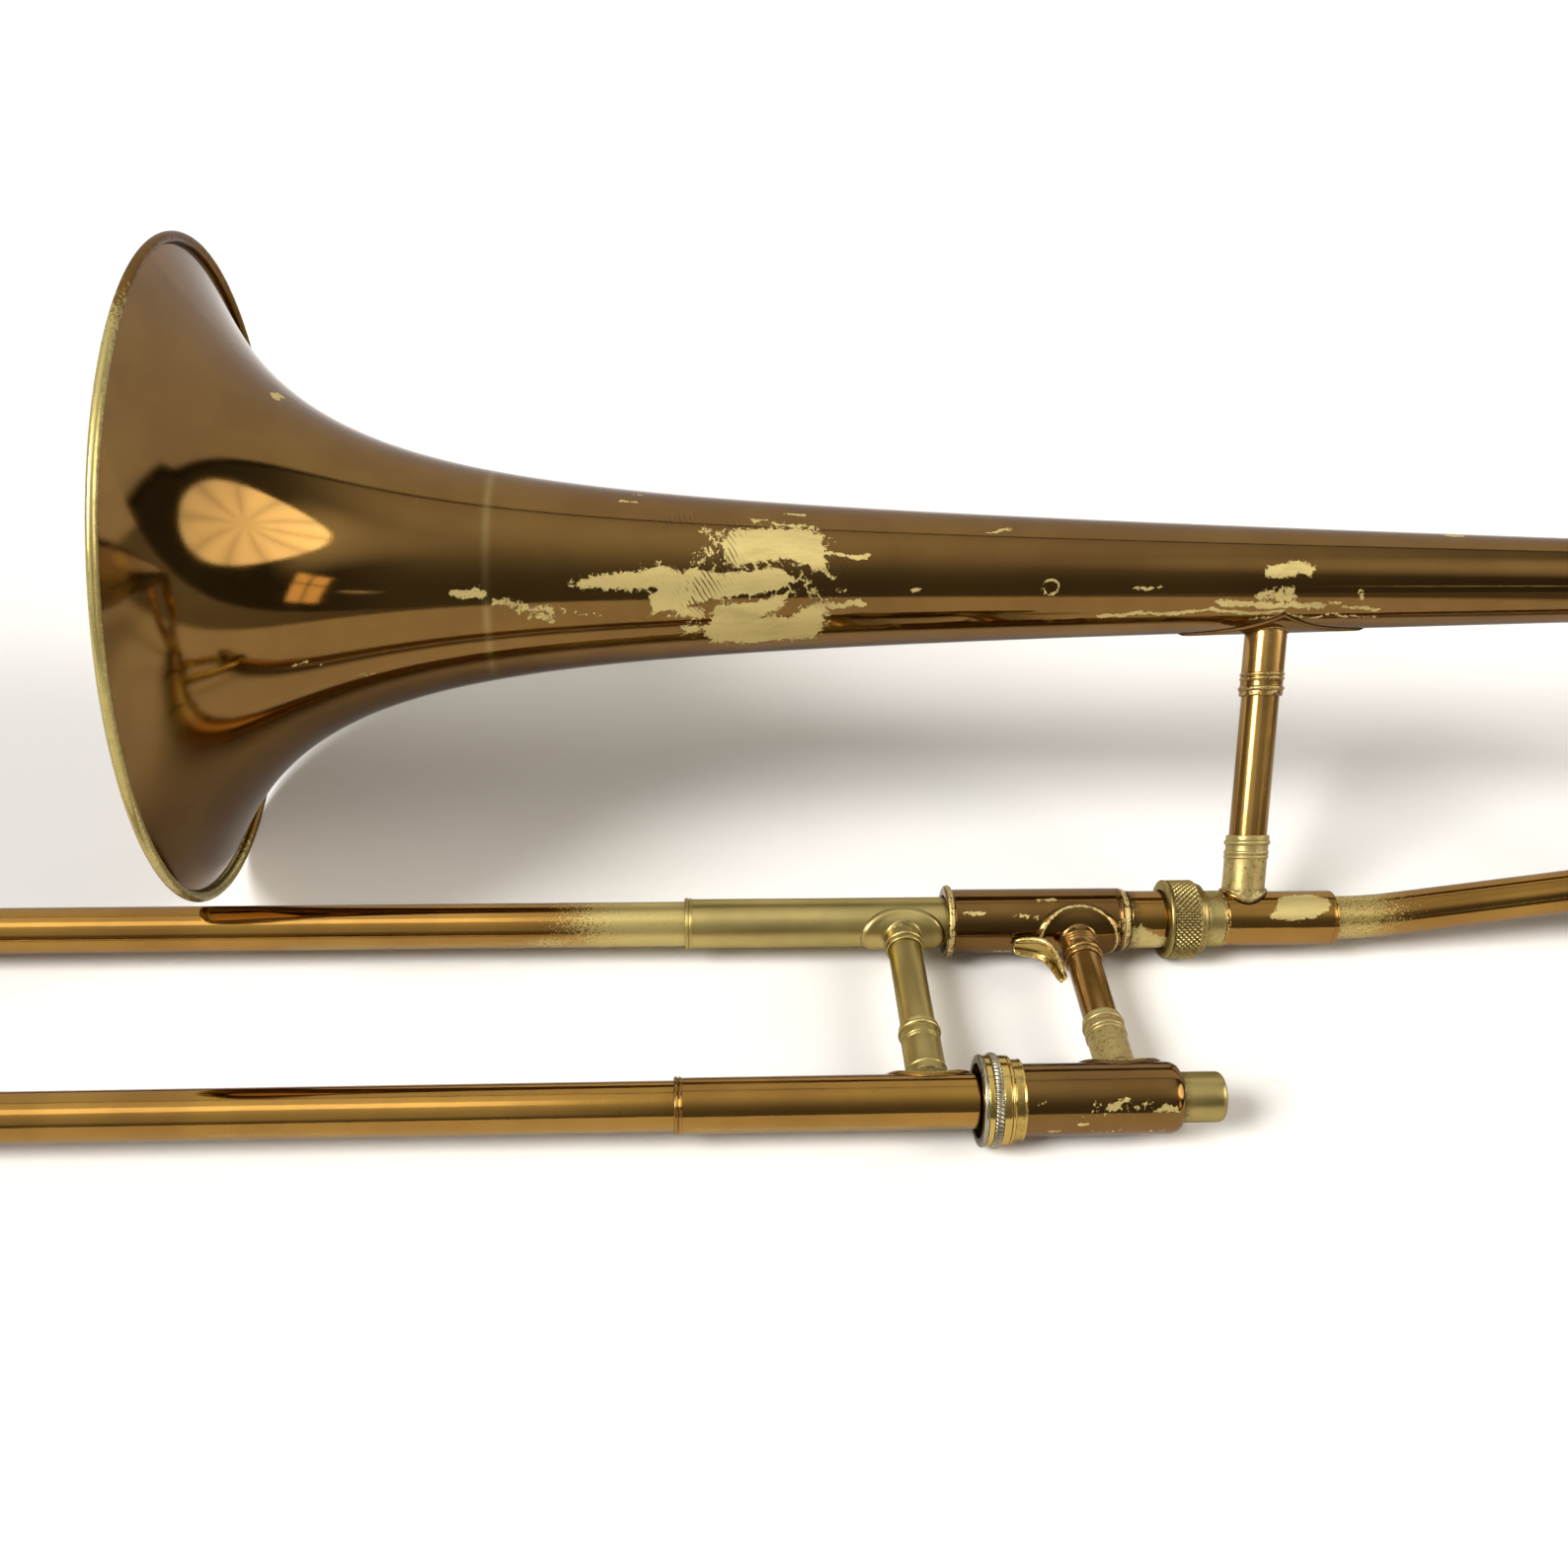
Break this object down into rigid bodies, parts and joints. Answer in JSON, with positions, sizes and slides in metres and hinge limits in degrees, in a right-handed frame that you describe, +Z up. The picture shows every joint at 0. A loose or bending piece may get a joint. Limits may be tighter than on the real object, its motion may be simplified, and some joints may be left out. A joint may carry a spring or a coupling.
{
  "type": "trombone",
  "caption": "Slide trombone with hand slide, cork barrels, slide lock, lock nut joint, flared bell, gooseneck and tuning slide.",
  "frame": {"origin": "bottom centre of the whole instrument's box as it lies on its side on a table, hand slide closed", "axes": "+X along the hand slide towards the tuning slide, +Y across towards the bell, +Z up from the table"},
  "size_m": [1.1502, 0.2577, 0.2032],
  "materials": {
    "lacquered_brass": "dark gold lacquer, worn",
    "raw_brass": "bare brass, matte",
    "nickel": "nickel plate",
    "cork": "cork",
    "rubber": "matte rubber"
  },
  "bodies": {
    "bell_section": {"bell_flare": "lacquered_brass", "bell_stem": "lacquered_brass", "bell_rim_bead": "raw_brass", "bell_seam_ring": "raw_brass", "neckpipe_receiver": "raw_brass", "neckpipe_ferrule": "lacquered_brass", "neckpipe": "lacquered_brass", "tuning_ferrule_bell": "lacquered_brass", "tuning_ferrule_neck": "lacquered_brass", "tuning_outer_leg_bell": "lacquered_brass", "tuning_outer_leg_neck": "lacquered_brass", "bell_brace_saddle_neck": "lacquered_brass", "bell_brace_saddle_bell": "lacquered_brass", "bell_brace_sockets": "raw_brass", "bell_brace_tube": "lacquered_brass", "tail_brace_saddle_neck": "lacquered_brass", "tail_brace_saddle_bell": "lacquered_brass", "tail_brace_sockets": "lacquered_brass", "tail_brace_tube": "lacquered_brass"},
    "tuning_slide": {"tuning_crook": "lacquered_brass", "tuning_inner_leg_bell": "nickel", "tuning_inner_leg_neck": "nickel", "crook_ferrule_bell": "lacquered_brass", "crook_ferrule_neck": "lacquered_brass"},
    "inner_slide": {"inner_tube_neck": "nickel", "inner_tube_mouth": "nickel", "slide_cork_neck": "cork", "slide_cork_mouth": "cork", "barrel_neck": "lacquered_brass", "barrel_mouth": "lacquered_brass", "slide_tenon": "lacquered_brass", "mouthpiece_receiver": "raw_brass", "leadpipe": "lacquered_brass", "inner_brace_saddle_neck": "lacquered_brass", "inner_brace_saddle_mouth": "lacquered_brass", "inner_brace_sockets": "raw_brass", "inner_brace_tube": "lacquered_brass", "finger_rest": "raw_brass"},
    "outer_slide": {"outer_tube_neck": "lacquered_brass", "outer_tube_mouth": "lacquered_brass", "sleeve_neck": "raw_brass", "sleeve_mouth": "lacquered_brass", "bow_ferrule_neck": "lacquered_brass", "bow_ferrule_mouth": "lacquered_brass", "slide_bow": "lacquered_brass", "bow_bumper": "rubber", "outer_brace_saddle_neck": "raw_brass", "outer_brace_saddle_mouth": "raw_brass", "outer_brace_sockets": "raw_brass", "outer_brace_tube": "raw_brass", "water_key_nipple": "raw_brass", "water_key_posts": "raw_brass", "water_key_pin": "nickel"},
    "slide_lock": {"lock_ring": "lacquered_brass", "lock_ring_rope": "nickel"},
    "bell_lock_nut": {"lock_nut": "raw_brass"},
    "water_key": {"water_key_lever": "lacquered_brass", "water_key_cork": "cork"}
  },
  "joints": [
    {"name": "hand_slide_swivel", "type": "hinge", "parent": "bell_section", "child": "inner_slide", "pos_m": [0.305, -0.0385, 0.0134], "axis": [1, 0, 0], "range_deg": [-30, 120]},
    {"name": "hand_slide", "type": "slide", "parent": "inner_slide", "child": "outer_slide", "axis": [-1, 0, 0], "range_m": [0, 0.6]},
    {"name": "slide_lock_turn", "type": "hinge", "parent": "inner_slide", "child": "slide_lock", "pos_m": [0.213, -0.1155, 0.0134], "axis": [1, 0, 0], "range_deg": [0, 30]},
    {"name": "lock_nut_turn", "type": "hinge", "parent": "inner_slide", "child": "bell_lock_nut", "pos_m": [0.285, -0.0385, 0.0134], "axis": [1, 0, 0], "continuous": true},
    {"name": "tuning_slide_pull", "type": "slide", "parent": "bell_section", "child": "tuning_slide", "axis": [1, 0, 0], "range_m": [0, 0.055]},
    {"name": "water_key_rock", "type": "hinge", "parent": "outer_slide", "child": "water_key", "pos_m": [-0.487, -0.0255, 0.0134], "axis": [0, 0, -1], "range_deg": [0, 8], "stiffness_Nm_per_rad": 0.05, "springref_deg": -28.65}
  ]
}
